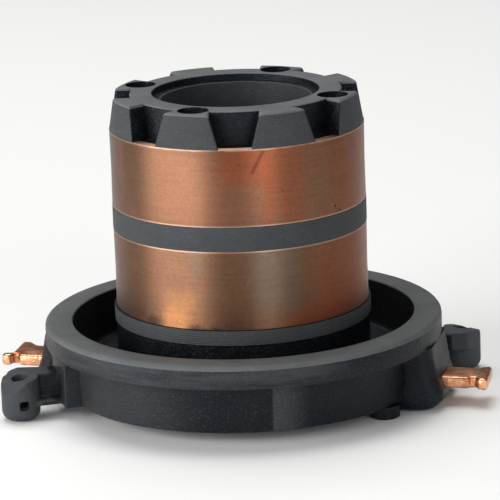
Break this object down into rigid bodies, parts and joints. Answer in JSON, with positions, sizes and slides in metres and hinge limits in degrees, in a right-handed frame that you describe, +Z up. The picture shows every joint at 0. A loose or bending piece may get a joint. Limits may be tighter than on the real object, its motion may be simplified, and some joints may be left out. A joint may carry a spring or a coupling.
{
  "type": "alternator slip ring",
  "caption": "Slip ring unit for an alternator rotor: copper rings on a black moulded hub with a toothed crown, a dish flange, side terminals and lead guide lugs.",
  "frame": {"origin": "on the bore's axis, in the plane that the unit stands on", "axes": "+Z up the bore towards the crown of teeth, +X along the upper ring's terminal, +Y square to both"},
  "size_m": [0.0657, 0.052, 0.0408],
  "materials": {
    "moulding": "black phenolic moulding, matt",
    "ring_copper": "turned copper with a worn brown film",
    "lead_copper": "bright rolled copper strip"
  },
  "bodies": {
    "root": {"moulded_body": "moulding", "upper_ring": "ring_copper", "lower_ring": "ring_copper", "upper_ring_lead": "lead_copper", "lower_ring_lead": "lead_copper"}
  },
  "joints": []
}
